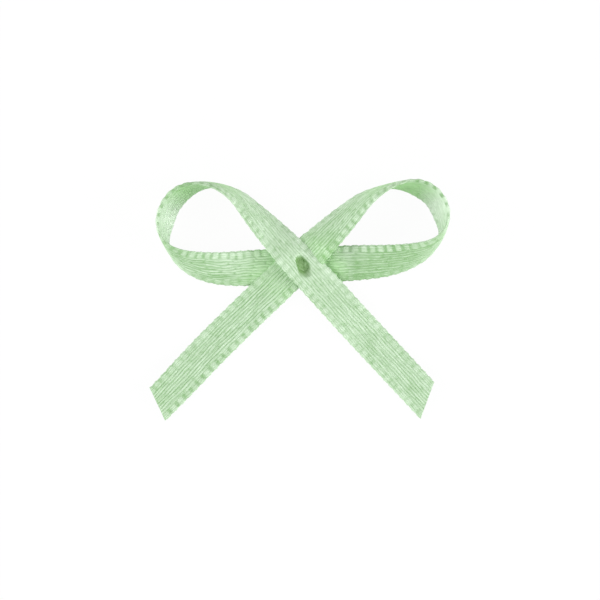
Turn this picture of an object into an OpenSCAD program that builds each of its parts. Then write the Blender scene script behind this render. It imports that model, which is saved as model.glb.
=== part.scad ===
// Ready-made gift bow of narrow satin ribbon, lying on its back.
// One ribbon crosses itself three times and is fused at the crossing by a single point weld.
// The origin is the weld centre on the back face, X runs to the right and Y towards the loops.

/* [Ribbon] */
// Width of the ribbon
ribbon_w = 3; // [2:0.1:4]
// Thickness of the ribbon
ribbon_t = 0.35; // [0.2:0.05:0.5]

/* [Crossing] */
// Rise of the back strip towards the right, in degrees
back_angle = 2.8; // [0:0.1:6]
// Rise of the middle strip towards the right, in degrees
middle_angle = 44.5; // [40:0.5:50]
// Distance at which the middle strip passes above and left of the weld
middle_offset = 0.37; // [0:0.01:0.5]
// Fall of the front strip towards the right, in degrees
front_angle = 47; // [42:0.5:52]
// Air between two plies that lie on each other
ply_gap = 0.05; // [0.02:0.01:0.1]
// Distance from the edge of a crossing strip to the fold line beside it
fold_margin = 0.3; // [0.2:0.05:0.6]
// Clearance between the rounded root of a fold and the ply that it leaves
fold_gap = 0.1; // [0.05:0.01:0.15]
// Clearance between a loop's lower limb and the back ply
limb_gap = 0.2; // [0.1:0.05:0.3]

/* [Weld] */
// Length of the fused core, along the front strip
weld_len = 1.7; // [1.2:0.1:2]
// Width of the fused core
weld_w = 0.9; // [0.6:0.05:1.2]
// Wall left round the dimple
weld_wall = 0.15; // [0.1:0.05:0.2]
// Depth of the dimple below the front ply
weld_pit = 0.5; // [0.2:0.05:0.6]
// Clearance between the core and the plies round it
weld_fit = 0.01; // [0.01:0.01:0.03]

/* [Right loop] */
// Straight length of the lower limb, from the weld
right_lower_run = 5.75; // [5.5:0.05:7]
// Straight length of the upper limb, from the weld
right_upper_run = 6.5; // [5:0.1:8]
// Sideways reach of the crown from the weld
right_crown_x = 11.65; // [9.5:0.05:14]
// Height of the crown's outermost point above the weld
right_crown_y = 3.45; // [2.8:0.05:4.2]
// Pull of the curve that leaves the lower limb
right_lower_pull = 4.35; // [3:0.05:5]
// Pull of the curve just below the crown's outermost point
right_crown_pull_low = 1.6; // [1:0.1:2.2]
// Pull of the curve just above the crown's outermost point
right_crown_pull_high = 3.7; // [3:0.05:4.2]
// Pull of the curve that leaves the upper limb
right_upper_pull = 4.05; // [3:0.05:4.5]
// Twist of the lower limb, in degrees for each millimetre
right_lower_twist = 5.9; // [4:0.1:7]
// Growth of the lower limb's twist towards the crown, in degrees for each cubic millimetre
right_lower_bend = 0.024; // [0.01:0.001:0.05]
// Roll with which the upper limb leaves the crossing, in degrees
right_upper_start = 9; // [0:1:20]
// Twist of the upper limb, in degrees for each millimetre
right_upper_twist = 7.3; // [6:0.1:9]
// Growth of the upper limb's twist towards the crown, in degrees for each cubic millimetre
right_upper_bend = 0.0045; // [0:0.0005:0.01]

/* [Left loop] */
// Straight length of the lower limb, from the weld
left_lower_run = 5.5; // [5.5:0.05:7]
// Straight length of the upper limb, from the weld
left_upper_run = 7; // [5.5:0.1:8]
// Sideways reach of the crown from the weld
left_crown_x = 11.5; // [9.5:0.1:14]
// Height of the crown's outermost point above the weld
left_crown_y = 2.95; // [2.4:0.05:3.6]
// Pull of the curve that leaves the lower limb
left_lower_pull = 4.4; // [3:0.1:5]
// Pull of the curve just below the crown's outermost point
left_crown_pull_low = 1.7; // [1:0.1:2.2]
// Pull of the curve just above the crown's outermost point
left_crown_pull_high = 3.8; // [3:0.1:4.5]
// Pull of the curve that leaves the upper limb
left_upper_pull = 3.65; // [3:0.05:4.5]
// Twist of the lower limb, in degrees for each millimetre
left_lower_twist = 4.5; // [4:0.1:7]
// Growth of the lower limb's twist towards the crown, in degrees for each cubic millimetre
left_lower_bend = 0.048; // [0.01:0.001:0.06]
// Roll with which the upper limb leaves the crossing, in degrees
left_upper_start = 14; // [0:1:20]
// Twist of the upper limb, in degrees for each millimetre
left_upper_twist = 6.4; // [6:0.1:9]
// Growth of the upper limb's twist towards the crown, in degrees for each cubic millimetre
left_upper_bend = 0.0065; // [0:0.0005:0.01]

/* [Both loops] */
// Roll at which the twist levels off in a crown, in degrees
crown_roll = 120; // [110:1:125]
// Range over which the twist of the right loop's limbs eases into the crown, in degrees
right_crown_ease = 22; // [15:1:55]
// Range over which the twist of the left loop's limbs eases into the crown, in degrees
left_crown_ease = 32; // [15:1:55]
// Distance from the weld at which a lower limb starts to twist
limb_start = 2; // [1:0.1:2.5]
// Length past its root or fold line over which a limb takes up its twist
twist_in = 1.2; // [0.8:0.1:2]
// Length past the fold line over which an upper limb comes down to the table
limb_drop = 2.5; // [1.5:0.5:8]

/* [Tails] */
// Length of the left tail from the weld to the middle of its cut end
left_tail_len = 16.7; // [12:0.1:24]
// Length by which the inner edge of the left tail is longer than the outer edge
left_tail_cut = 1.05; // [0:0.05:2]
// Roll of the left tail's end, in degrees
left_tail_roll = 16; // [0:1:25]
// Length of the right tail from the weld to the middle of its cut end
right_tail_len = 15.3; // [12:0.1:24]
// Length by which the inner edge of the right tail is longer than the outer edge
right_tail_cut = 1.5; // [0:0.05:2]
// Roll of the right tail's end, in degrees
right_tail_roll = 10; // [0:1:25]
// Distance from the weld up to which a tail stays level
tail_level = 4.5; // [4.3:0.1:6]
// Distance from the weld at which a tail lies on the table
tail_down = 8.5; // [7.5:0.1:9]
// Distance from the weld to the line where a tail curls
tail_curl = 9.3; // [9.2:0.1:10]

/* [Hidden] */
$fn = 48;

ribbon_colour = "#bcdab4";
weld_colour = "#83aa73";

// Height of the underside of each ply
back_z = 0;
middle_z = back_z + ribbon_t + ply_gap;
front_z = middle_z + ribbon_t + ply_gap;
front_top = front_z + ribbon_t;
// The fused core reaches half way into the back ply, so the back face stays whole
core_bottom = back_z + ribbon_t / 2;

// The rounded root of a fold is a little thinner than the ribbon and a little shorter than its width
nose_r = 0.45 * ribbon_t;
nose_len = ribbon_w - 2 * fold_gap;
ply_setback = nose_r + fold_gap;

// Distance of each fold line from the weld, along its own strip
right_fold = ribbon_w / 2 + fold_margin;
left_fold = ribbon_w / 2 + middle_offset + fold_margin;
left_tail_fold = ribbon_w / 2 + fold_margin;
right_tail_fold = ribbon_w / 2 - middle_offset + fold_margin;
// Angle between the two strips that end in each loop
right_slant = middle_angle - back_angle;
left_slant = front_angle + back_angle;
// The left tail runs down and left from the middle ply
left_tail_angle = middle_angle + 180;

// A loop is sampled in steps: the straight runs, then the two curves that meet at its crown
run_steps = 12;
curve_steps = 14;
// The crown is the part between these fractions of the two curves, where the ribbon stands on edge
crown_from = 11 / curve_steps;
crown_to = 10 / curve_steps;
crown_first = run_steps + round(crown_from * curve_steps);
crown_last = run_steps + curve_steps + round(crown_to * curve_steps);
loop_last = 2 * run_steps + 2 * curve_steps;
tail_steps = 14;

// Steps of the bow's plan
function heading(angle) = [cos(angle), sin(angle)];
function left_of(along) = [-along.y, along.x];
function ramp(x) = min(max(x, 0), 1);
function smooth(x) = let(r = ramp(x)) r * r * (3 - 2 * r);
function soft_min(a, b, width) = let(h = max(width - abs(a - b), 0) / width) min(a, b) - h * h * width / 4;
function bezier(p, t) = pow(1 - t, 3) * p[0] + 3 * pow(1 - t, 2) * t * p[1]
    + 3 * (1 - t) * t * t * p[2] + t * t * t * p[3];
function slice(list, first, last) = [for (i = [first : last]) list[i]];

// Where a lower limb starts: its strip meets the fold line of the upper limb
function limb_root(slant, fold) = (fold + limb_gap) / cos(slant);

// Centreline of a loop in plan, drawn to the right: lower limb, crown, upper limb
function loop_plan(lower_angle, upper_angle, upper_offset, root, fold, lower_run, upper_run, crown, pulls) =
    let(out = heading(lower_angle), back = heading(upper_angle), base = left_of(back) * upper_offset)
    let(low = out * lower_run, high = base + back * upper_run)
    let(lower_curve = [low, low + out * pulls[0], crown - [0, pulls[1]], crown])
    let(upper_curve = [crown, crown + [0, pulls[2]], high + back * pulls[3], high])
    concat(
        [for (i = [0 : run_steps]) out * (root + (lower_run - root) * i / run_steps)],
        [for (i = [1 : curve_steps]) bezier(lower_curve, i / curve_steps)],
        [for (i = [1 : curve_steps]) bezier(upper_curve, i / curve_steps)],
        [for (i = [1 : run_steps]) base + back * (upper_run - (upper_run - fold) * i / run_steps)]
    );

// Length of ribbon from the weld to each point of a plan that starts at a given length
function step_len(plan, i) = i + 1 < len(plan) ? norm(plan[i + 1] - plan[i]) : 0;
function lengths(plan, start) = [for (i = 0, s = start; i < len(plan); s = s + step_len(plan, i), i = i + 1) s];
function direction(plan, i) =
    let(d = plan[min(i + 1, len(plan) - 1)] - plan[max(i - 1, 0)]) d / norm(d);

// Roll of a limb at a distance: a start, a steady twist and a growth with the cube of the distance
function limb_roll(distance, twist) = twist[0] + twist[1] * distance + twist[2] * pow(distance, 3);

// Roll of a loop at s from one end, r from the other: both limbs twist up to the crown's roll
function loop_roll(s, r, root, fold, lower_twist, upper_twist, ease) =
    let(lower = limb_roll(max(s - limb_start, 0), lower_twist) * ramp((s - root) / twist_in))
    let(upper = limb_roll(r, upper_twist) * ramp((r - fold) / twist_in))
    max(0, soft_min(soft_min(lower, crown_roll, ease), upper, ease));

// Four corners of the ribbon's section: its left edge rises with the roll and leads by the skew
function section(plan, base, along, roll, skew) =
    let(side = left_of(along), lead = along * skew)
    let(across = [side.x * cos(roll) + lead.x, side.y * cos(roll) + lead.y, sin(roll)])
    let(up = [-side.x * sin(roll), -side.y * sin(roll), cos(roll)])
    let(lift = ribbon_w / 2 * abs(sin(roll)) + ribbon_t / 2 * abs(cos(roll)))
    [for (c = [[1, 1], [1, -1], [-1, -1], [-1, 1]])
        [plan.x, plan.y, base + lift] + across * c.x * ribbon_w / 2 + up * c.y * ribbon_t / 2];

// Sections of a whole loop, from the slanted root of its lower limb to the fold of its upper limb
function loop_sections(plan, root, fold, slant, ply_z, lower_twist, upper_twist, ease) =
    let(s = lengths(plan, root), total = s[len(s) - 1] + fold)
    [for (i = [0 : len(plan) - 1])
        let(r = total - s[i], skew = -tan(slant) * (1 - ramp((s[i] - root) / ribbon_w)))
        section(plan[i], ply_z * (1 - smooth((r - fold) / limb_drop)), direction(plan, i),
            loop_roll(s[i], r, root, fold, lower_twist, upper_twist, ease), skew)];

// Sections of a tail between two distances from the weld, with its last section cut at a slant
function tail_sections(angle, offset, from, to, ply_z, roll, reach, skew) =
    let(along = heading(angle), side = left_of(along) * offset)
    [for (i = [0 : tail_steps])
        let(u = from + (to - from) * i / tail_steps)
        section(side + along * u, ply_z * (1 - smooth((u - tail_level) / (tail_down - tail_level))), along,
            roll * smooth((u - tail_curl) / (reach - tail_curl)), i == tail_steps ? skew : 0)];

// Solid ribbon through a list of four-cornered sections
module strip(sections) {
    corners = 4;
    last = (len(sections) - 1) * corners;
    sides = [for (i = [0 : len(sections) - 2], j = [0 : corners - 1])
        let(k = (j + 1) % corners, a = i * corners)
        each [[a + j, a + k, a + corners + k], [a + j, a + corners + k, a + corners + j]]];
    ends = [[0, 3, 2], [0, 2, 1], [last, last + 1, last + 2], [last, last + 2, last + 3]];
    polyhedron([for (s = sections) each s], concat(sides, ends));
}

// Rounded root of a moving strip, on its fold line
module fold_nose(angle, offset, distance, ply_z) {
    rotate(angle)
        translate([distance, offset, ply_z + ribbon_t / 2])
            rotate([90, 0, 0])
                cylinder(r = nose_r, h = nose_len, center = true);
}

// Slot-shaped block along the front strip
module weld_slot(length, width, bottom, top) {
    rotate(-front_angle)
        translate([0, 0, bottom]) {
            translate([-(length - width) / 2, -width / 2, 0])
                cube([length - width, width, top - bottom]);
            for (end = [-1, 1])
                translate([end * (length - width) / 2, 0, 0])
                    cylinder(d = width, h = top - bottom);
        }
}

// Flat ply with the hole that the fused core fills
module ply(angle, offset, from, to, ply_z) {
    difference() {
        rotate(angle)
            translate([from, offset - ribbon_w / 2, ply_z])
                cube([to - from, ribbon_w, ribbon_t]);
        weld_slot(weld_len + 2 * weld_fit, weld_w + 2 * weld_fit, core_bottom - weld_fit, front_top + ply_gap);
    }
}

// The right loop leaves the middle ply, and the left loop is drawn to the right and mirrored
right_root = limb_root(right_slant, right_fold);
right_plan = loop_plan(back_angle, middle_angle, middle_offset, right_root, right_fold,
    right_lower_run, right_upper_run, [right_crown_x, right_crown_y],
    [right_lower_pull, right_crown_pull_low, right_crown_pull_high, right_upper_pull]);
right_sections = loop_sections(right_plan, right_root, right_fold, right_slant, middle_z,
    [0, right_lower_twist, right_lower_bend],
    [right_upper_start, right_upper_twist, right_upper_bend], right_crown_ease);
left_root = limb_root(left_slant, left_fold);
left_plan = loop_plan(-back_angle, front_angle, 0, left_root, left_fold,
    left_lower_run, left_upper_run, [left_crown_x, left_crown_y],
    [left_lower_pull, left_crown_pull_low, left_crown_pull_high, left_upper_pull]);
left_sections = loop_sections(left_plan, left_root, left_fold, left_slant, front_z,
    [0, left_lower_twist, left_lower_bend],
    [left_upper_start, left_upper_twist, left_upper_bend], left_crown_ease);

// The back ply ends along the fold lines of both loops
half_w = ribbon_w / 2;
function back_corner(y, slant, fold) = [(fold - y * sin(slant)) / cos(slant), y];
function flip(point) = [-point.x, point.y];

module back_ply() {
    color(ribbon_colour)
        difference() {
            rotate(back_angle)
                translate([0, 0, back_z])
                    linear_extrude(ribbon_t)
                        polygon([
                            back_corner(half_w, right_slant, right_fold),
                            back_corner(-half_w, right_slant, right_fold),
                            flip(back_corner(-half_w, left_slant, left_fold)),
                            flip(back_corner(half_w, left_slant, left_fold))
                        ]);
            weld_slot(weld_len + 2 * weld_fit, weld_w + 2 * weld_fit, core_bottom - weld_fit, front_top);
        }
}

module middle_ply() {
    color(ribbon_colour)
        ply(middle_angle, middle_offset, -(left_tail_fold - ply_setback), right_fold - ply_setback, middle_z);
}

module front_ply() {
    color(ribbon_colour)
        ply(-front_angle, 0, -(left_fold - ply_setback), right_tail_fold - ply_setback, front_z);
}

module fused_core() {
    color(weld_colour)
        difference() {
            weld_slot(weld_len, weld_w, core_bottom, front_top);
            weld_slot(weld_len - 2 * weld_wall, weld_w - 2 * weld_wall, front_top - weld_pit, front_top + weld_pit);
        }
}

module right_loop_lower_limb() {
    color(ribbon_colour) strip(slice(right_sections, 0, crown_first));
}

module right_loop_crown() {
    color(ribbon_colour) strip(slice(right_sections, crown_first, crown_last));
}

module right_loop_upper_limb() {
    color(ribbon_colour) {
        strip(slice(right_sections, crown_last, loop_last));
        fold_nose(middle_angle, middle_offset, right_fold, middle_z);
    }
}

module left_loop_lower_limb() {
    color(ribbon_colour) mirror([1, 0, 0]) strip(slice(left_sections, 0, crown_first));
}

module left_loop_crown() {
    color(ribbon_colour) mirror([1, 0, 0]) strip(slice(left_sections, crown_first, crown_last));
}

module left_loop_upper_limb() {
    color(ribbon_colour)
        mirror([1, 0, 0]) {
            strip(slice(left_sections, crown_last, loop_last));
            fold_nose(front_angle, 0, left_fold, front_z);
        }
}

// The left tail heads away from the loops, so the middle strip's offset lies on its other side
module left_tail() {
    color(ribbon_colour) {
        strip(tail_sections(left_tail_angle, -middle_offset, left_tail_fold, tail_curl - ply_setback,
            middle_z, 0, left_tail_len, 0));
        fold_nose(left_tail_angle, -middle_offset, left_tail_fold, middle_z);
    }
}

module left_tail_tip() {
    color(ribbon_colour) {
        strip(tail_sections(left_tail_angle, -middle_offset, tail_curl, left_tail_len,
            middle_z, -left_tail_roll, left_tail_len, left_tail_cut / ribbon_w));
        fold_nose(left_tail_angle, -middle_offset, tail_curl, back_z);
    }
}

module right_tail() {
    color(ribbon_colour) {
        strip(tail_sections(-front_angle, 0, right_tail_fold, tail_curl - ply_setback,
            front_z, 0, right_tail_len, 0));
        fold_nose(-front_angle, 0, right_tail_fold, front_z);
    }
}

module right_tail_tip() {
    color(ribbon_colour) {
        strip(tail_sections(-front_angle, 0, tail_curl, right_tail_len,
            front_z, right_tail_roll, right_tail_len, -right_tail_cut / ribbon_w));
        fold_nose(-front_angle, 0, tail_curl, back_z);
    }
}

back_ply();
middle_ply();
front_ply();
fused_core();
left_loop_lower_limb();
left_loop_crown();
left_loop_upper_limb();
right_loop_lower_limb();
right_loop_crown();
right_loop_upper_limb();
left_tail();
left_tail_tip();
right_tail();
right_tail_tip();
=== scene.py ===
import bpy
import numpy as np
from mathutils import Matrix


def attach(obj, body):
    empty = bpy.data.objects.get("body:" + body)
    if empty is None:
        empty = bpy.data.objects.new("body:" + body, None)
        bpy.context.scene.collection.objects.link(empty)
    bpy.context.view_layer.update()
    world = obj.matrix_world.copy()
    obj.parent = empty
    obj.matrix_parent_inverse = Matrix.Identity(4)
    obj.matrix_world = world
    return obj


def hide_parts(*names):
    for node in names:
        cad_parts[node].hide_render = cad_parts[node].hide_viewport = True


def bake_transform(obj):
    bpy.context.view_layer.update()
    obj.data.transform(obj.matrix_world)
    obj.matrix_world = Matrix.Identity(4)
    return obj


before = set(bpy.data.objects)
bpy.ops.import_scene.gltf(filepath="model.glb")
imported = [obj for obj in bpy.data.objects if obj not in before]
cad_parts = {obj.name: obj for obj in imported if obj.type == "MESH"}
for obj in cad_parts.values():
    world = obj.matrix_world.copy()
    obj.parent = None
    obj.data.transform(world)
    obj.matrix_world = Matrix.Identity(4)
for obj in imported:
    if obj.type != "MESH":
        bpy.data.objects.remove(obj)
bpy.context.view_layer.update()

# Left tail: the end where the ribbon starts, woven in one narrow width of green polyester.
# The middle is warp satin, with long floats side by side, and both edges are block-woven selvages.
# A hot blade cuts it at a slant, and it leaves the crossing under the front ply and curls freely.
MM = 0.001
RIBBON_W = 3.0
RIBBON_T = 0.27
RIBBON_CUP = 0.3
CUP_LEVEL = 0.7
HALF_W = RIBBON_W / 2
MIDDLE_Z = 0.2
MIDDLE_ANGLE = 44.5
MIDDLE_OFFSET = 0.37
PLAN_STEPS = 160

# Lengths from the weld at which a tail starts down, meets the table, starts to curl and is divided.
TAIL_LEVEL = 4.5
TAIL_DOWN = 8.5
TAIL_CURL = 9.3
TAIL_SPLIT = 5.2


def smooth(x):
    """Smoothstep: 0 below 0, 1 above 1 and 3x^2 - 2x^3 between."""
    x = np.clip(x, 0, 1)
    return x * x * (3 - 2 * x)


def heading(angle):
    """Unit vector in plan at an angle in degrees from X."""
    return np.array([np.cos(np.radians(angle)), np.sin(np.radians(angle))])


def left_of(along):
    """A plan vector turned a quarter to the left."""
    return np.array([-along[1], along[0]])


def line(start, end):
    """Points at equal steps from start to end."""
    t = np.linspace(0, 1, PLAN_STEPS)[:, None]
    return start * (1 - t) + end * t


def run_length(plan):
    """Length along a plan: the running sum of the distances between its points."""
    steps = np.linalg.norm(np.diff(plan, axis=0), axis=1)
    return np.concatenate([[0], np.cumsum(steps)])


def lay(plan, base, roll, start):
    """Frame of the ribbon along a plan, in millimetres.
    The edge on the right of the travel rises by the roll, in degrees, and the lower edge stands on the base:
    across = right cos + up sin, face = up cos - right sin,
    centre height = base + half width |sin| + half thickness |cos|."""
    along = np.gradient(plan, axis=0)
    along /= np.linalg.norm(along, axis=1)[:, None]
    flat = np.zeros(len(plan))
    right = np.stack([along[:, 1], -along[:, 0], flat], axis=1)
    up = np.array([0, 0, 1.0])
    turn = np.radians(roll)
    cos, sin = np.cos(turn)[:, None], np.sin(turn)[:, None]
    lift = base + HALF_W * np.abs(np.sin(turn)) + RIBBON_T / 2 * np.abs(np.cos(turn))
    return {
        "s": start + run_length(plan),
        "centre": np.concatenate([plan, lift[:, None]], axis=1),
        "across": right * cos + up * sin,
        "face": up * cos - right * sin,
        "cup": RIBBON_CUP * np.sin(turn),
    }


def at(course, key, s):
    """A course's vectors, interpolated at an array of lengths."""
    return np.stack([np.interp(s, course["s"], course[key][:, k]) for k in range(3)], axis=-1)


def chance(a, b):
    """Repeatable scatter between 0 and 1: the fraction of a large sine of the two numbers."""
    value = np.sin(a * 12.9898 + b * 78.233) * 43758.5453
    return value - np.floor(value)


# Satin: yarns side by side across the middle, each held down by a weft at every repeat of its float.
# WANDERS are the yarns' waves: size, rate along, rate across and start.
SATIN_HALF = 0.93
YARNS = 8
YARN_PITCH = 2 * SATIN_HALF / YARNS
YARN_H = 0.07
YARN_ROUND = 0.92
YARN_MEAN = 0.75
WANDERS = ((0.028, 1.1, 2.3, 0.0), (0.016, 2.9, -4.1, 1.0))
FLOAT_REPEAT = 2.1
FLOAT_STEP = 0.4
FLOAT_SCATTER = 0.3
DIP_LEN = 0.13
DIP_SCATTER = 0.4
DIP_LEAST = 0.25
DIP_SPREAD = 0.35
DIP_SHADE = 0.5

# Selvages: bands of fine threads along both edges, woven in blocks with a gap between each two.
BAND_W = HALF_W - SATIN_HALF
BAND_BLUR = 0.08
BLOCK_RATE = 1.245
BLOCK_CHANGE = 0.00126
BLOCK_SHIFT = 0.31
BLOCK_SWAY = 0.05
SWAY_RATE = 1.7
BLOCK_H = 0.075
BLOCK_SHARP = 2.6
BLOCK_SHARE = 0.8
BLOCK_START = 0.25
BLOCK_LIGHT = 1.05
ARCH_ROUND = 0.8
THREAD_PITCH = 0.16
THREAD_DEPTH = 0.12
GAP_LEAST = 0.55
GAP_AT_EDGE = 0.7
GAP_INSET = 0.3
GAP_SINK = 0.8
GAP_SHADE = 0.66


def block_wave(s, side):
    """Count of selvage blocks at length s: their rate rises slowly along the ribbon and sways a little."""
    steady = BLOCK_RATE * s + BLOCK_CHANGE * s**2
    return steady + BLOCK_SHIFT * side + BLOCK_SWAY * np.sin(s * SWAY_RATE + side)


# How the cloth changes along the ribbon, at lengths in millimetres from the left cut end:
# the gaps' strength at its right and left edge, the yarns' relief, their fine grain and their waviness.
FIRM_AT = [0, 15, 20, 25, 28, 31, 34, 38, 46, 50, 56, 59, 63, 67, 91]
FIRM_RIGHT = [1.0, 1.0, 0.85, 0.8, 1.2, 1.2, 0.3, 0.9, 0.9, 0.95, 0.95, 1.2, 1.2, 0.5, 0.55]
FIRM_LEFT = [0.6, 0.6, 0.5, 0.5, 0.5, 0.5, 0.5, 0.5, 0.5, 0.5, 0.5, 0.5, 0.5, 0.5, 0.55]
RELIEF = [1.0, 1.0, 0.84, 0.8, 0.8, 0.8, 0.78, 0.78, 0.84, 1.05, 1.05, 0.5, 1.0, 0.55, 1.0]
GRAIN = [1.0, 1.0, 1.0, 1.0, 0.9, 0.75, 0.9, 1.0, 1.0, 1.0, 0.9, 0.35, 0.6, 0.9, 1.0]
RUFFLE = [1.0, 1.0, 1.0, 1.0, 1.0, 1.0, 1.2, 1.4, 1.6, 2.2, 2.2, 1.0, 1.0, 1.0, 1.0]

# Painted light and shade, at lengths in millimetres: the first table paints a slope across the width, paler
# towards the right edge of the travel where above 0, and the second makes the whole width paler or darker, of
# which the selvages' gaps or blocks leave out the share BLOCK_CALM.
PAINTED_SIDE_LIGHT_AT = [
    0, 11, 13, 16, 18, 19.5, 21, 25, 28, 30, 31.5, 33, 35, 38, 42,
    43.4, 45, 47, 51, 54, 57, 59, 63, 67, 74, 76, 78, 80, 91,
]
PAINTED_SIDE_LIGHT = [
    0.0, 0.0, 0.1, -0.1, -0.27, -0.33, -0.16, -0.07, -0.22, -0.58, -0.35, -0.2, -0.28, 0.02, 0.25,
    0.75, 0.5, 0.4, 0.32, 0.12, -0.36, -0.24, -0.38, -0.05, -0.03, -0.15, -0.12, 0.0, 0.0,
]
PAINTED_LIGHT_AT = [
    0, 4, 11, 12.8, 14.6, 18, 22, 26, 28, 30, 31.5, 33, 34.5, 37, 41.5,
    43.2, 45, 48, 50, 51.5, 53.5, 57, 60, 63, 68, 73, 76, 80, 91,
]
PAINTED_LIGHT = [
    -0.1, -0.05, -0.05, -0.08, 0.12, -0.05, -0.1, -0.02, 0.1, 0.62, 0.68, 0.25, -0.2, -0.42, -0.38,
    0.32, 0.65, 0.42, 0.05, -0.02, -0.27, -0.16, 0.47, -0.1, 0.04, 0.08, 0.13, 0.03, 0.01,
]
BLOCK_CALM = 0.75
TINT_AND_LIGHT_SHARE = 0.2
UNDER_SHIFT = 40.0


def weave(place_s, x, under):
    """Relief of the cloth at a length and distance x across, with its painted shade, and a chance tone with
    painted light and shade added.
    The under face, where under is 1, has the pattern of another length.
    Satin: each yarn is a half-round ridge that dips where a weft holds it, two fifths of a repeat on
    from its neighbour, and wanders aside by two sines.
    Selvage: an arched band whose threads sink in gaps, from a softened square wave of the block count.
    The chance tone is a value for each float and block, with the painted light and shade of that length
    added."""
    s = place_s + UNDER_SHIFT * under
    ruffle = np.interp(place_s, FIRM_AT, RUFFLE)
    waves = [size * np.sin(s * along + x * across + start) for size, along, across, start in WANDERS]
    wander = sum(waves) * ruffle
    place = (x + wander + SATIN_HALF) / YARN_PITCH
    yarn = np.floor(place)
    off = 2 * (place - yarn) - 1
    turn = s / FLOAT_REPEAT + yarn * FLOAT_STEP + FLOAT_SCATTER * chance(yarn, 3.0)
    count = np.floor(turn)
    off_dip = (turn - count - 0.5 + DIP_SCATTER * (chance(yarn, count) - 0.5)) * FLOAT_REPEAT
    dip_depth = (DIP_LEAST + DIP_SPREAD * chance(count, yarn)) * np.sqrt(ruffle)
    dip = np.exp(-(off_dip / DIP_LEN) ** 2) * dip_depth
    ridge = np.sqrt(1 - YARN_ROUND * off**2)
    ridge = YARN_MEAN + (ridge - YARN_MEAN) * np.interp(place_s, FIRM_AT, RELIEF)
    satin = ridge * (1 - dip)
    side = np.sign(x)
    edge = HALF_W - np.abs(x)
    wave = block_wave(s, side)
    block = np.floor(wave + BLOCK_START)
    closed = 0.5 - 0.5 * np.tanh(BLOCK_SHARP * np.sin(2 * np.pi * wave) + BLOCK_SHARE)
    firm_right = np.interp(place_s, FIRM_AT, FIRM_RIGHT)
    firm_left = np.interp(place_s, FIRM_AT, FIRM_LEFT)
    depth = np.where(side > 0, firm_right, firm_left) * (GAP_LEAST + (1 - GAP_LEAST) * chance(block, side))
    gap = closed * depth * (GAP_AT_EDGE + (1 - GAP_AT_EDGE) * smooth(edge / GAP_INSET))
    arch = np.sqrt(1 - ARCH_ROUND * np.clip(2 * edge / BAND_W - 1, -1, 1) ** 2)
    thread = 1 - THREAD_DEPTH + THREAD_DEPTH * np.cos(2 * np.pi * edge / THREAD_PITCH)
    selvage = arch * thread * (1 - GAP_SINK * gap)
    band = smooth((np.abs(x + wander) - SATIN_HALF) / BAND_BLUR + 0.5)
    height = YARN_H * satin * (1 - band) + BLOCK_H * selvage * band
    # Painted shade: darker in the yarns' grooves, at their dips, between the selvage's threads and in its
    # gaps, and lighter on its blocks.
    satin_shade = ridge * (1 - DIP_SHADE * dip)
    selvage_shade = BLOCK_LIGHT * thread * (1 - GAP_SHADE * gap)
    shade = satin_shade * (1 - band) + selvage_shade * band
    tint_and_painted_light = chance(yarn + 0.5, count) * (1 - band) + chance(block, side + 3) * band
    # Painted light and shade of this length, over the whole width and sloping across it, added to the chance
    # value.
    painted_light = np.interp(place_s, PAINTED_LIGHT_AT, PAINTED_LIGHT)
    calm = np.where(painted_light > 0, gap, (1 - gap) * (side > 0))
    painted_light = painted_light * (1 - BLOCK_CALM * band * calm)
    painted_side_light = np.interp(place_s, PAINTED_SIDE_LIGHT_AT, PAINTED_SIDE_LIGHT) * x / HALF_W
    return height, shade, tint_and_painted_light + (painted_light + painted_side_light) / TINT_AND_LIGHT_SHARE


# Deeper green where light comes through the cloth: in the pockets by the crossing and in the crowns' tops.
# It fades out towards the crowns' upper rims, from RIM_Z upwards.
DEEP_AT = [0, 12.5, 14.5, 19, 21, 24, 27, 29, 31, 42, 43.5, 48, 49.5, 50.5, 52, 61, 63, 66, 68, 91]
DEEP = [
    0.0, 0.0, 0.18, 0.18, 0.0, 0.0, 0.55, 0.55, 0.0, 0.0,
    0.5, 0.5, 0.3, 0.12, 0.0, 0.0, 0.4, 0.4, 0.0, 0.0,
]
RIM_Z = 1.5
RIM_FADE = 1.4

# Grid of a length of ribbon: columns across, the share of them at even steps, and rows along.
COLUMNS = 110
EVEN_SHARE = 0.65
ROW_STEP = 0.075
END_BAND = 0.004
CUT_FADE = 2 * RIBBON_W
CORE_HALF = 0.062
EDGE_R = 0.15
EDGE_WAVE = 0.028
SIDE_WAVE = 0.6
SIDE_RATE = 2.37


def section_x(count):
    """Places of the columns across the ribbon: even steps mixed with a sine's, closer towards both edges."""
    q = np.linspace(-1, 1, count)
    return HALF_W * (EVEN_SHARE * q + (1 - EVEN_SHARE) * np.sin(q * np.pi / 2))


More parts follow.
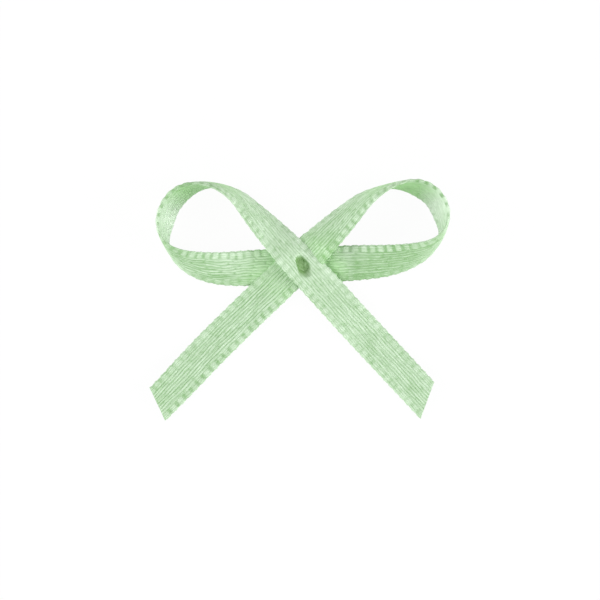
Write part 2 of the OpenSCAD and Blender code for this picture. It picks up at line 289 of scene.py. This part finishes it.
def cloth(name, course, first, last, cut=(0.0, 0.0), press=None):
    """Closed length of ribbon between two lengths of a course.
    A point is centre + x across + z face, with z the rounded half thickness plus the weave on either face
    and a parabola for the cup. Both edges bulge by two sines of the block count. A cut slants an end by that
    length over the width, fading out over two widths, and press lowers both faces."""
    steps = np.linspace(first + END_BAND, last - END_BAND, int(np.ceil((last - first) / ROW_STEP)))
    steps = np.concatenate([[first], steps, [last]])
    rows = len(steps)
    x = section_x(COLUMNS)
    x = np.concatenate([x, x[::-1]])[None, :]
    side = np.repeat([1.0, -1.0], COLUMNS)[None, :]
    s = steps[:, None] + 0 * x
    start_slant = cut[0] * np.clip(1 - (s - first) / CUT_FADE, 0, 1)
    end_slant = cut[1] * np.clip(1 - (last - s) / CUT_FADE, 0, 1)
    s = s + (start_slant + end_slant) * x / RIBBON_W
    height, shade, tint_and_painted_light = weave(s, x, side < 0)
    edge = HALF_W - np.abs(x)
    rim = np.sqrt(np.clip(1 - np.clip(1 - edge / EDGE_R, 0, 1) ** 2, 0, 1))
    cup = np.interp(s, course["s"], course["cup"]) * (CUP_LEVEL - (x / HALF_W) ** 2)
    z = side * rim * (CORE_HALF + height) + cup
    turn = 2 * np.pi * block_wave(s, np.sign(x))
    bulge = EDGE_WAVE * (np.sin(turn) + SIDE_WAVE * np.sin(SIDE_RATE * turn + 1))
    bulge = bulge * smooth(1 - edge / BAND_W) * np.sign(x)
    melt_and_painted_shade = np.zeros(s.shape)
    if press is not None:
        drop, melt_and_painted_shade = press(s, x)
        z = z - drop
    points = at(course, "centre", s) + at(course, "across", s) * (x + bulge)[..., None]
    points = points + at(course, "face", s) * z[..., None]
    wide = 2 * COLUMNS
    index = np.arange(rows * wide).reshape(rows, wide)
    ahead = np.roll(index, -1, axis=1)
    skin = np.stack([index[:-1], ahead[:-1], ahead[1:], index[1:]], axis=-1).reshape(-1, 4)
    top = index[:, :COLUMNS]
    under = index[:, :COLUMNS - 1:-1]
    start_cap = np.stack([top[0, :-1], under[0, :-1], under[0, 1:], top[0, 1:]], axis=-1)
    end_cap = np.stack([top[-1, :-1], top[-1, 1:], under[-1, 1:], under[-1, :-1]], axis=-1)
    faces = np.concatenate([skin, start_cap, end_cap])
    place = np.stack([s, x + 0 * s], axis=-1).reshape(-1, 2)
    deep = np.interp(s, DEEP_AT, DEEP) * (1 - smooth((points[..., 2] - RIM_Z) / RIM_FADE))
    grain = np.interp(s, FIRM_AT, GRAIN)
    marks = {"shade": shade, "tint_and_painted_light": tint_and_painted_light, "deep": deep, "melt_and_painted_shade": melt_and_painted_shade, "grain": grain}
    return solid(name, points.reshape(-1, 3), faces, place, marks)


def solid(name, points, faces, place, marks):
    """Mesh object at the origin from points in millimetres and four-cornered faces.
    Place is each point's length and distance across, for the weave's map, and marks are its other values."""
    mesh = bpy.data.meshes.new(name)
    mesh.from_pydata((points * MM).tolist(), [], faces.tolist())
    mesh.shade_smooth()
    corner = np.zeros(len(mesh.loops), dtype=np.int32)
    mesh.loops.foreach_get("vertex_index", corner)
    mesh.uv_layers.new(name="Weave").data.foreach_set("uv", place[corner].ravel())
    for mark, values in marks.items():
        mesh.attributes.new(mark, "FLOAT", "POINT").data.foreach_set("value", np.ravel(values))
    mesh.update()
    piece = bpy.data.objects.new(name, mesh)
    bpy.context.scene.collection.objects.link(piece)
    return piece


class Wire:
    """An output of a material's nodes. Arithmetic on it adds Math nodes, and add() makes any other node."""

    def __init__(self, tree, socket=None):
        self.tree = tree
        self.socket = socket

    def add(self, kind, settings=None, sockets=None, output=0):
        """New node of a kind: its settings are set first, then the values or links of its sockets."""
        node = self.tree.nodes.new(kind)
        for key, value in (settings or {}).items():
            setattr(node, key, value)
        for key, value in (sockets or {}).items():
            if isinstance(value, Wire):
                self.tree.links.new(value.socket, node.inputs[key])
            else:
                node.inputs[key].default_value = value
        return Wire(self.tree, node.outputs[output]) if node.outputs else None

    def math(self, operation, a, b):
        """Math node of an operation on two values."""
        return self.add("ShaderNodeMath", {"operation": operation}, {0: a, 1: b})

    def __add__(self, other):
        return self.math("ADD", self, other)

    __radd__ = __add__

    def __sub__(self, other):
        return self.math("SUBTRACT", self, other)

    def __rsub__(self, other):
        return self.math("SUBTRACT", other, self)

    def __mul__(self, other):
        return self.math("MULTIPLY", self, other)

    __rmul__ = __mul__

    def mix(self, a, b):
        """Colour between a and b by this factor, and beyond b where it is over 1."""
        settings = {"data_type": "RGBA", "clamp_factor": False}
        return self.add("ShaderNodeMix", settings, {0: self, 6: a, 7: b}, 2)


def green(red, grn, blue):
    """Linear colour of an sRGB one given in 0 to 255."""
    c = np.array([red, grn, blue]) / 255
    linear = np.where(c <= 0.04045, c / 12.92, ((c + 0.055) / 1.055) ** 2.4)
    return (*linear.tolist(), 1.0)


def new_material(name):
    """Empty node material, with a wire to add nodes to."""
    material = bpy.data.materials.new(name)
    material.use_nodes = True
    material.node_tree.nodes.clear()
    return material, Wire(material.node_tree)


def weave_map(tree):
    """Length along the ribbon and distance across it, from the weave's UV map."""
    place = {"Vector": tree.add("ShaderNodeUVMap", {"uv_map": "Weave"})}
    along = tree.add("ShaderNodeSeparateXYZ", None, place, 0)
    across = tree.add("ShaderNodeSeparateXYZ", None, place, 1)
    return along, across


def noise(u, v, detail):
    """Flat noise at u and v, about 0.5, with one feature to a unit."""
    place = u.add("ShaderNodeCombineXYZ", None, {0: u, 1: v})
    sockets = {"Vector": place, "Scale": 1.0, "Detail": detail}
    return u.add("ShaderNodeTexNoise", {"noise_dimensions": "2D"}, sockets)


SATIN_DARK = green(131, 174, 117)
SATIN_PALE = green(208, 230, 203)
SATIN_DEEP = green(148, 220, 116)
SATIN_MELT_AND_SHADE = green(120, 160, 97)
SHADE_SHARE = 0.9
FIBRE_SHARE = 0.7
STREAK_SHARE = 0.6
CLOUD_SHARE = 0.12
FIBRE_RATES = (1.6, 11.0)
STREAK_RATES = (0.5, 8.0)
CLOUD_RATES = (0.35, 0.8)
SATIN_DETAIL = 2.0
SATIN_LEVEL = 0.345
SATIN_MOST = 1.5
SATIN_ROUGH = 0.4
FIBRE_GLOSS = 0.1
MELT_ROUGH = 0.15
FIBRE_DEPTH = 0.02

satin_green, tree = new_material("satin_green")
along, across = weave_map(tree)
marks = ("shade", "tint_and_painted_light", "deep", "melt_and_painted_shade", "grain")
shade, tint_and_painted_light, deep, melt_and_painted_shade, grain = [
    tree.add("ShaderNodeAttribute", {"attribute_name": mark}, None, 2) for mark in marks
]
fibre = noise(along * FIBRE_RATES[0], across * FIBRE_RATES[1], SATIN_DETAIL)
streak = noise(along * STREAK_RATES[0], across * STREAK_RATES[1], SATIN_DETAIL)
cloud = noise(along * CLOUD_RATES[0], across * CLOUD_RATES[1], SATIN_DETAIL)
yarns = fibre * FIBRE_SHARE + streak * STREAK_SHARE - (FIBRE_SHARE + STREAK_SHARE) / 2
# Painted shade of the grooves, dips and gaps, and painted light and shade along the ribbon, come into the
# colour through the first two marks.
lit = shade * SHADE_SHARE + tint_and_painted_light * TINT_AND_LIGHT_SHARE + yarns * grain + cloud * CLOUD_SHARE - SATIN_LEVEL
lit = tree.math("MINIMUM", tree.math("MAXIMUM", lit, 0.0), SATIN_MOST)
colour = lit.mix(SATIN_DARK, SATIN_PALE)
colour = deep.mix(colour, SATIN_DEEP)
# The fused polyester's darker green, deepened by painted shade in the dimple.
colour = melt_and_painted_shade.mix(colour, SATIN_MELT_AND_SHADE)
rough = SATIN_ROUGH - fibre * FIBRE_GLOSS + melt_and_painted_shade * MELT_ROUGH
bump = tree.add("ShaderNodeBump", None, {"Strength": 0.8, "Distance": FIBRE_DEPTH * MM, "Height": fibre})
surface = tree.add("ShaderNodeBsdfPrincipled", None, {
    "Base Color": colour, "Roughness": rough, "Normal": bump, "Specular IOR Level": 0.6,
})
tree.add("ShaderNodeOutputMaterial", None, {"Surface": surface})


def dress(piece, material, slot, *nodes):
    """Gives a piece its material and hides the model's nodes that it stands for. The slot is not used."""
    piece.data.materials.append(material)
    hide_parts(*nodes)


LEFT_TAIL_LEN = 16.7
LEFT_TAIL_CUT = 1.05
LEFT_TAIL_ROLL = 16.0
LEFT_TAIL_SEAM = 1.45
LEFT_TAIL_DRIFT = 0.2
LEFT_TAIL_SWAY = 0.05
LEFT_SWAY_FROM = 0.5
SPARE = 1.0

middle_way = heading(MIDDLE_ANGLE)
middle_foot = left_of(middle_way) * MIDDLE_OFFSET
tail_tip = middle_foot - middle_way * (LEFT_TAIL_LEN + SPARE)
tail_plan = line(tail_tip, middle_foot - middle_way * LEFT_TAIL_SEAM)
from_weld = LEFT_TAIL_LEN + SPARE - run_length(tail_plan)
curl = smooth((from_weld - TAIL_CURL) / (LEFT_TAIL_LEN - TAIL_CURL))
drift = LEFT_TAIL_DRIFT * curl - LEFT_TAIL_SWAY * smooth(from_weld / TAIL_LEVEL - LEFT_SWAY_FROM)
tail_plan = tail_plan - drift[:, None] * left_of(middle_way)
tail_base = MIDDLE_Z * (1 - smooth((from_weld - TAIL_LEVEL) / (TAIL_DOWN - TAIL_LEVEL)))
tail_roll = -LEFT_TAIL_ROLL * curl
left_tail_course = lay(tail_plan, tail_base, tail_roll, -SPARE)
left_split = LEFT_TAIL_LEN - TAIL_SPLIT
ribbon_s = left_tail_course["s"][-1]

left_tail_end = cloth("ribbon_left_tail_end", left_tail_course, 0.0, left_split, (-LEFT_TAIL_CUT, 0.0))
dress(left_tail_end, satin_green, "ribbon", "left_tail_tip")
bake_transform(left_tail_end)
left_tail_start = cloth("ribbon_left_tail", left_tail_course, left_split, ribbon_s)
dress(left_tail_start, satin_green, "ribbon", "left_tail")
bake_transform(left_tail_start)

# Middle ply: the length of ribbon that lies between the back ply and the front ply.
# It is the same satin, pressed flat by the weld, and starts to tilt where it comes out into the right loop.
MIDDLE_END = 1.45
MIDDLE_ROLL = 9.0
MIDDLE_TWIST = 6.2
MIDDLE_BEND = 0.0185
MIDDLE_TILT_FROM = 0.3
MIDDLE_TILT_RUN = 2.2
MIDDLE_DOWN_FROM = 1.0
MIDDLE_DOWN_RUN = 3.0


def middle_roll(up):
    """Roll of the middle strip at a length from the weld: a start, a steady twist and a cubic,
    eased in under the front ply by a smoothstep."""
    roll = MIDDLE_ROLL + MIDDLE_TWIST * up + MIDDLE_BEND * up**3
    return roll * smooth((up - MIDDLE_TILT_FROM) / MIDDLE_TILT_RUN)


def middle_base(up):
    """Height of the middle strip's lower edge: a smoothstep down to the table as the strip tilts."""
    return MIDDLE_Z * (1 - smooth((up - MIDDLE_DOWN_FROM) / MIDDLE_DOWN_RUN))


middle_plan = line(middle_foot - middle_way * LEFT_TAIL_SEAM, middle_foot + middle_way * MIDDLE_END)
middle_up = run_length(middle_plan) - LEFT_TAIL_SEAM
middle_course = lay(middle_plan, middle_base(middle_up), middle_roll(middle_up), ribbon_s)
middle_last = ribbon_s + LEFT_TAIL_SEAM + MIDDLE_END
middle_ply = cloth("ribbon_middle_ply", middle_course, ribbon_s, middle_last)
dress(middle_ply, satin_green, "ribbon", "middle_ply")
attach(middle_ply, "centre")
ribbon_s = middle_last

# Right loop: the ribbon leaves the middle ply, twists up on its edge, turns and comes back behind the bow.
# It is one free length of satin that keeps its shape by its own stiffness, held only at the crossing.
BACK_ANGLE = 2.8
CROWN_ROLL = 120.0
LIMB_START = 2.0
UPPER_EASE = 14.0


def bezier(p0, p1, p2, p3):
    """Cubic curve through its first and last point, pulled towards the two between."""
    t = np.linspace(0, 1, PLAN_STEPS)[:, None]
    return (1 - t) ** 3 * p0 + 3 * (1 - t) ** 2 * t * p1 + 3 * (1 - t) * t**2 * p2 + t**3 * p3


def soft_min(a, b, width):
    """Smaller of two values, rounded off by a parabola where they differ by less than the width."""
    near = np.clip(width - np.abs(a - b), 0, None) / width
    return np.minimum(a, b) - near * near * width / 4


def loop_plan(size):
    """Plan of a loop, drawn to the right, from its lower seam to its upper seam: a straight lower limb,
    one cubic up to the crown's outermost point, one cubic back, and a straight upper limb."""
    out, back = heading(size["lower_angle"]), heading(size["upper_angle"])
    foot = left_of(back) * size["offset"]
    low, high = out * size["lower_run"], foot + back * size["upper_run"]
    crown = np.array(size["crown"])
    below, above = np.array([0, size["pulls"][1]]), np.array([0, size["pulls"][2]])
    runs = [
        line(out * size["lower_seam"], low),
        bezier(low, low + out * size["pulls"][0], crown - below, crown),
        bezier(crown, crown + above, high + back * size["pulls"][3], high),
        line(high, foot + back * size["upper_seam"]),
    ]
    return np.concatenate([runs[0]] + [run[1:] for run in runs[1:]])


def crown_roll(low, twist, bend, upper, ease):
    """Roll of a loop: the soft minimum of the lower limb's roll, which is a steady twist and a cubic,
    the crown's and the upper limb's."""
    free = np.clip(low - LIMB_START, 0, None)
    lower = twist * free + bend * free**3
    return soft_min(soft_min(lower, CROWN_ROLL, ease), upper, UPPER_EASE)


right_size = {
    "lower_angle": BACK_ANGLE, "upper_angle": MIDDLE_ANGLE, "offset": MIDDLE_OFFSET,
    "lower_run": 5.75, "upper_run": 6.5, "crown": (11.65, 3.45), "pulls": (4.35, 1.6, 3.7, 4.05),
    "lower_seam": 0.8, "upper_seam": MIDDLE_END,
}
RIGHT_TWIST = 5.0
RIGHT_BEND = 0.037
RIGHT_EASE = 22.0
right_plan = loop_plan(right_size)[::-1]
right_run = run_length(right_plan)
right_up = MIDDLE_END + right_run
right_low = right_size["lower_seam"] + right_run[-1] - right_run
right_roll = crown_roll(right_low, RIGHT_TWIST, RIGHT_BEND, middle_roll(right_up), RIGHT_EASE)
right_course = lay(right_plan, middle_base(right_up), right_roll, ribbon_s)
right_loop = cloth("ribbon_right_loop", right_course, ribbon_s, ribbon_s + right_run[-1])
dress(right_loop, satin_green, "ribbon", "right_loop_lower_limb", "right_loop_crown", "right_loop_upper_limb")
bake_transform(right_loop)
ribbon_s = ribbon_s + right_run[-1]

# Back ply: the length of ribbon behind the crossing, between the two loops.
# It is flat satin that lies on the table and carries the weld's foot.
LEFT_LOWER_SEAM = 0.8
level = np.zeros(PLAN_STEPS)
back_way = heading(BACK_ANGLE)
back_plan = line(back_way * right_size["lower_seam"], -back_way * LEFT_LOWER_SEAM)
back_course = lay(back_plan, level, level, ribbon_s)
back_last = ribbon_s + right_size["lower_seam"] + LEFT_LOWER_SEAM
back_ply = cloth("ribbon_back_ply", back_course, ribbon_s, back_last)
dress(back_ply, satin_green, "ribbon", "back_ply")
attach(back_ply, "centre")
ribbon_s = back_last

# Left loop: the ribbon goes on from the back ply, round the same way, and comes down across the front.
# It is a little longer and flatter than the right loop, and its upper limb lies on top of everything.
FRONT_Z = 0.42
FRONT_ANGLE = 47.0
FRONT_ROLL = 14.0
FRONT_TWIST = 5.8
FRONT_BEND = 0.0145
FRONT_EASE = 12.0
FRONT_DOWN_FROM = 1.2
FRONT_DOWN_RUN = 2.6
LEFT_TWIST = 4.1
LEFT_BEND = 0.052
LEFT_EASE = 32.0
LEFT_UPPER_SEAM = 1.8


def front_roll(up):
    """Roll of the front strip at a length from the weld: a start, a steady twist and a cubic,
    kept from going under 0 on the tail's side by a soft maximum."""
    roll = FRONT_ROLL + FRONT_TWIST * up + FRONT_BEND * up**3
    return -soft_min(-roll, 0 * roll, FRONT_EASE)


def front_base(up):
    """Height of the front strip's lower edge: a smoothstep down to the table beyond the middle strip."""
    return FRONT_Z * (1 - smooth((up - FRONT_DOWN_FROM) / FRONT_DOWN_RUN))


left_size = {
    "lower_angle": -BACK_ANGLE, "upper_angle": FRONT_ANGLE, "offset": 0.0,
    "lower_run": 5.5, "upper_run": 7.0, "crown": (11.5, 2.95), "pulls": (4.4, 1.7, 3.8, 3.65),
    "lower_seam": LEFT_LOWER_SEAM, "upper_seam": LEFT_UPPER_SEAM,
}
left_plan = loop_plan(left_size) * [-1, 1]
left_run = run_length(left_plan)
left_low = LEFT_LOWER_SEAM + left_run
left_up = LEFT_UPPER_SEAM + left_run[-1] - left_run
left_roll = crown_roll(left_low, LEFT_TWIST, LEFT_BEND, front_roll(left_up), LEFT_EASE)
left_course = lay(left_plan, front_base(left_up), left_roll, ribbon_s)
left_loop = cloth("ribbon_left_loop", left_course, ribbon_s, ribbon_s + left_run[-1])
dress(left_loop, satin_green, "ribbon", "left_loop_lower_limb", "left_loop_crown", "left_loop_upper_limb")
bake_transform(left_loop)
ribbon_s = ribbon_s + left_run[-1]

# Front ply: the last crossing, on top of the other two, where the point weld is pressed in.
# The hot point has sunk the satin into an oval dimple, steep at its upper end and open towards its foot.
RIGHT_TAIL_SEAM = 1.1
WELD_SHIFT = 0.04
DIMPLE_DEPTH = 0.42
DIMPLE_TURN = 19.0
DIMPLE_LONG = 0.95
DIMPLE_WIDE = 0.6
DIMPLE_SQUARE = 2.2
DIMPLE_FOOT = 0.3
FOOT_RISE = 1.2
FOOT_FROM = 0.6
FOOT_RUN = 0.3
FOOT_LIGHT = 0.45
RAGS = ((0.05, 5.0, 3.0), (0.03, -4.0, 9.0))
WALL_LEAST = 0.35
WALL_ASIDE = 0.2
WALL_FOOT = 0.3
MELT_AND_SHADE_RUN = 0.35
LIP_H = 0.04
LIP_AT = 1.2
LIP_W = 0.16
LIP_SIDE = 0.6
front_way = heading(-FRONT_ANGLE)
front_plan = line(-front_way * LEFT_UPPER_SEAM, front_way * RIGHT_TAIL_SEAM)
front_up = LEFT_UPPER_SEAM - run_length(front_plan)
front_course = lay(front_plan, front_base(front_up), front_roll(front_up), ribbon_s)
front_last = ribbon_s + LEFT_UPPER_SEAM + RIGHT_TAIL_SEAM
weld_s = ribbon_s + LEFT_UPPER_SEAM - WELD_SHIFT


def dimple_axes(p, x):
    """Shares of the dimple's half length and half width at p along the strip and x across it.
    Its long axis is turned a little from the strip towards its lower left."""
    turn = np.radians(DIMPLE_TURN)
    along = (p * np.cos(turn) + x * np.sin(turn)) / DIMPLE_LONG
    aside = (x * np.cos(turn) - p * np.sin(turn)) / DIMPLE_WIDE
    return along, aside


def press_weld(s, x):
    """Drop of the cloth, and how much it is fused, with painted shade of the dimple, paler towards its open
    foot: both rise by a smoothstep from the rim, at radius 1, to the floor.
    The radius is a squared oval's, (|a|^n + |b|^n)^(1/n), made ragged by two sines and longer at the foot.
    The wall is steep but for the foot, and a low lip, a bell curve of the radius, stands along one side."""
    along, aside = dimple_axes(s - weld_s, x)
    foot = smooth(FOOT_RISE * along)
    reach = 1 + DIMPLE_FOOT * foot
    oval = (np.abs(along) ** DIMPLE_SQUARE + np.abs(aside) ** DIMPLE_SQUARE) ** (1 / DIMPLE_SQUARE)
    ragged = sum(size * np.sin(lengthwise * along + sideways * aside) for size, lengthwise, sideways in RAGS)
    radius = oval / reach * (1 + ragged)
    wall = WALL_LEAST + WALL_ASIDE * smooth(aside + 0.5) + WALL_FOOT * foot
    lip = LIP_H * np.exp(-((radius - LIP_AT) / LIP_W) ** 2) * smooth(LIP_SIDE - aside)
    pale = FOOT_LIGHT * smooth((radius * reach - FOOT_FROM) / FOOT_RUN) * foot
    melt_and_painted_shade = smooth((1.0 - radius) / MELT_AND_SHADE_RUN) * (1 - pale)
    return DIMPLE_DEPTH * smooth((1.0 - radius) / wall) - lip, melt_and_painted_shade


front_ply = cloth("ribbon_front_ply", front_course, ribbon_s, front_last, press=press_weld)
dress(front_ply, satin_green, "ribbon", "front_ply")
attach(front_ply, "centre")
ribbon_s = front_last

# Right tail: the ribbon's other end, which runs on from the front ply and ends in a slanted hot cut.
# It comes down from the top of the crossing to the table and curls like the left one.
RIGHT_TAIL_LEN = 15.3
RIGHT_TAIL_CUT = 1.5
RIGHT_TAIL_ROLL = 10.0
RIGHT_TAIL_DRIFT = 0.06
RIGHT_DRIFT_FROM = 0.4
tail_plan = line(front_way * RIGHT_TAIL_SEAM, front_way * (RIGHT_TAIL_LEN + SPARE))
from_weld = RIGHT_TAIL_SEAM + run_length(tail_plan)
drift = RIGHT_TAIL_DRIFT * smooth(from_weld / TAIL_LEVEL - RIGHT_DRIFT_FROM)
tail_plan = tail_plan - drift[:, None] * left_of(front_way)
tail_base = FRONT_Z * (1 - smooth((from_weld - TAIL_LEVEL) / (TAIL_DOWN - TAIL_LEVEL)))
curl = smooth((from_weld - TAIL_CURL) / (RIGHT_TAIL_LEN - TAIL_CURL))
tail_roll = front_roll(-from_weld) - RIGHT_TAIL_ROLL * curl
right_tail_course = lay(tail_plan, tail_base, tail_roll, ribbon_s)
right_split = ribbon_s + TAIL_SPLIT - RIGHT_TAIL_SEAM
right_last = ribbon_s + RIGHT_TAIL_LEN - RIGHT_TAIL_SEAM

right_tail_start = cloth("ribbon_right_tail", right_tail_course, ribbon_s, right_split)
dress(right_tail_start, satin_green, "ribbon", "right_tail")
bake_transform(right_tail_start)
right_cut = (0.0, RIGHT_TAIL_CUT)
right_tail_end = cloth("ribbon_right_tail_end", right_tail_course, right_split, right_last, right_cut)
dress(right_tail_end, satin_green, "ribbon", "right_tail_tip")
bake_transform(right_tail_end)

# Point weld: the plug of polyester that the hot point melted through all three plies.
# Its colour is darker than the cloth's, partly the fused polyester's own and partly painted shade, and it is
# smoother and fills the floor of the dimple.
CORE_RINGS = 28
CORE_TURNS = 96
CORE_SHARE = 0.82
CORE_FLOOR = -0.26
CORE_FOOT = -0.6
BOWL_RISE = 0.06
RIPPLE_H = 0.006
RIPPLE_RATE = 42.0
RIPPLE_BEND = 0.8
BEND_RATE = 5.0
SWELL_RATES = (9.0, 6.0)


def fused_core(name):
    """Closed lens in the dimple's outline: rings run out from the top's middle to the rim and back in below.
    The top is a shallow bowl, a parabola of the ring's share, with low ripples of two sines along the strip,
    and the underside is flat."""
    ring = np.linspace(0, 1, CORE_RINGS)
    out = np.concatenate([ring, ring[::-1]])[:, None]
    upper = np.repeat([1.0, 0.0], CORE_RINGS)[:, None]
    turn = np.linspace(0, 2 * np.pi, CORE_TURNS, endpoint=False)[None, :]
    squared = 2 / DIMPLE_SQUARE
    along = CORE_SHARE * DIMPLE_LONG * out * np.sign(np.cos(turn)) * np.abs(np.cos(turn)) ** squared
    aside = CORE_SHARE * DIMPLE_WIDE * out * np.sign(np.sin(turn)) * np.abs(np.sin(turn)) ** squared
    tilt = np.radians(DIMPLE_TURN)
    p = along * np.cos(tilt) - aside * np.sin(tilt)
    x = along * np.sin(tilt) + aside * np.cos(tilt)
    ripple = np.sin(x * RIPPLE_RATE + RIPPLE_BEND * np.sin(p * BEND_RATE))
    swell = np.sin(p * SWELL_RATES[0] + x * SWELL_RATES[1])
    top = CORE_FLOOR + BOWL_RISE * out**2 + RIPPLE_H * (ripple + swell) * (1 - out**4)
    z = upper * top + (1 - upper) * CORE_FOOT
    s = weld_s + p
    points = at(front_course, "centre", s) + at(front_course, "across", s) * x[..., None]
    points = points + at(front_course, "face", s) * z[..., None]
    index = np.arange(z.size).reshape(z.shape)
    ahead = np.roll(index, -1, axis=1)
    faces = np.stack([index[:-1], index[1:], ahead[1:], ahead[:-1]], axis=-1).reshape(-1, 4)
    place = np.stack([p, x], axis=-1).reshape(-1, 2)
    return solid(name, points.reshape(-1, 3), faces, place, {})


WELD_DARK = green(110, 152, 88)
WELD_PALE = green(174, 211, 156)
WELD_LONG_RATES = (1.5, 1.4)
WELD_SIDE_RATES = (5.5, -6.0)
WELD_DETAIL = 3.0
WELD_CONTRAST = 2.2
WELD_SHADE_SLOPE = 0.7
WELD_LEVEL = 0.7
WELD_ROUGH = 0.65
WELD_GLOSS = 0.15
WELD_GRAIN = 0.01

weld_green, tree = new_material("weld_green")
along, across = weave_map(tree)
streak_along = along * WELD_LONG_RATES[0] + across * WELD_LONG_RATES[1]
streak_aside = along * WELD_SIDE_RATES[0] + across * WELD_SIDE_RATES[1]
streak = noise(streak_along, streak_aside, WELD_DETAIL)
# Painted shade: the plug darkens towards the dimple's steep upper end and pales towards its open foot, over
# streaks of its own.
lit = streak * WELD_CONTRAST + along * WELD_SHADE_SLOPE - WELD_LEVEL
colour = lit.mix(WELD_DARK, WELD_PALE)
rough = WELD_ROUGH - streak * WELD_GLOSS
bump = tree.add("ShaderNodeBump", None, {"Strength": 0.3, "Distance": WELD_GRAIN * MM, "Height": streak})
surface = tree.add("ShaderNodeBsdfPrincipled", None, {
    "Base Color": colour, "Roughness": rough, "Normal": bump, "Specular IOR Level": 0.3,
})
tree.add("ShaderNodeOutputMaterial", None, {"Surface": surface})
core = fused_core("fused_plug")
dress(core, weld_green, "weld", "fused_core")
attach(core, "centre")

# Studio: a plain white table, soft light from all round, a large lamp on either side and a weaker near one.
# The table shows white to the camera and keeps part of the bow's shadow.
TABLE_SIDE = 0.6
TABLE_Z = -0.00003
TABLE_SHARE = 0.955
PAPER = (0.96, 0.96, 0.96, 1.0)
WHITE = (1.0, 1.0, 1.0, 1.0)
SKY_LEVEL = 0.68
LAMP_SIDE = 0.14
LAMPS = {
    "right_lamp": ((0.254, -0.025, 0.1), 0.46),
    "left_lamp": ((-0.254, 0.025, 0.1), 0.44),
    "near_lamp": ((0.0, -0.255, 0.1), 0.2),
}
VIEW_CENTRE = (-0.208, -2.875)
VIEW_WIDTH = 50.0
VIEW_LENS = 250.0
VIEW_SENSOR = 36.0
VIEW_NEAR = 0.01


def seen_white(tree):
    """1 for rays that show the surroundings: from the camera, off a shiny face or through a clear one."""
    camera_ray = tree.add("ShaderNodeLightPath", None, None, "Is Camera Ray")
    glossy_ray = tree.add("ShaderNodeLightPath", None, None, "Is Glossy Ray")
    clear_ray = tree.add("ShaderNodeLightPath", None, None, "Is Transmission Ray")
    return tree.math("MINIMUM", camera_ray + glossy_ray + clear_ray, 1.0)


table_white, tree = new_material("table_white")
seen = seen_white(tree)
paper = tree.add("ShaderNodeBsdfDiffuse", None, {"Color": PAPER})
glow = tree.add("ShaderNodeEmission", None, {"Color": WHITE, "Strength": 1.0})
surface = tree.add("ShaderNodeMixShader", None, {0: seen * TABLE_SHARE, 1: paper, 2: glow})
tree.add("ShaderNodeOutputMaterial", None, {"Surface": surface})
half = TABLE_SIDE / 2
corners = [(-half, -half, TABLE_Z), (half, -half, TABLE_Z), (half, half, TABLE_Z), (-half, half, TABLE_Z)]
table_mesh = bpy.data.meshes.new("table")
table_mesh.from_pydata(corners, [], [(0, 1, 2, 3)])
table_mesh.materials.append(table_white)
table = bpy.data.objects.new("table", table_mesh)
bpy.context.scene.collection.objects.link(table)

world = bpy.data.worlds.new("studio")
bpy.context.scene.world = world
world.use_nodes = True
world.node_tree.nodes.clear()
sky = Wire(world.node_tree)
sky_strength = seen_white(sky) * (1 - SKY_LEVEL) + SKY_LEVEL
backdrop = sky.add("ShaderNodeBackground", None, {"Color": WHITE, "Strength": sky_strength})
sky.add("ShaderNodeOutputWorld", None, {"Surface": backdrop})

for lamp_name, (lamp_place, lamp_power) in LAMPS.items():
    lamp_data = bpy.data.lights.new(lamp_name, "AREA")
    lamp_data.energy = lamp_power
    lamp_data.size = LAMP_SIDE
    lamp = bpy.data.objects.new(lamp_name, lamp_data)
    lamp.location = lamp_place
    tilt = np.arccos(lamp_place[2] / np.linalg.norm(lamp_place))
    lamp.rotation_euler = (0, tilt, np.arctan2(lamp_place[1], lamp_place[0]))
    bpy.context.scene.collection.objects.link(lamp)

camera_data = bpy.data.cameras.new("camera")
camera_data.lens = VIEW_LENS
camera_data.sensor_width = VIEW_SENSOR
camera = bpy.data.objects.new("camera", camera_data)
view_height = VIEW_WIDTH * VIEW_LENS / VIEW_SENSOR
camera.location = (VIEW_CENTRE[0] * MM, VIEW_CENTRE[1] * MM, view_height * MM)
camera_data.clip_start = VIEW_NEAR
bpy.context.scene.collection.objects.link(camera)
bpy.context.scene.camera = camera
bpy.context.scene.view_settings.view_transform = "Standard"
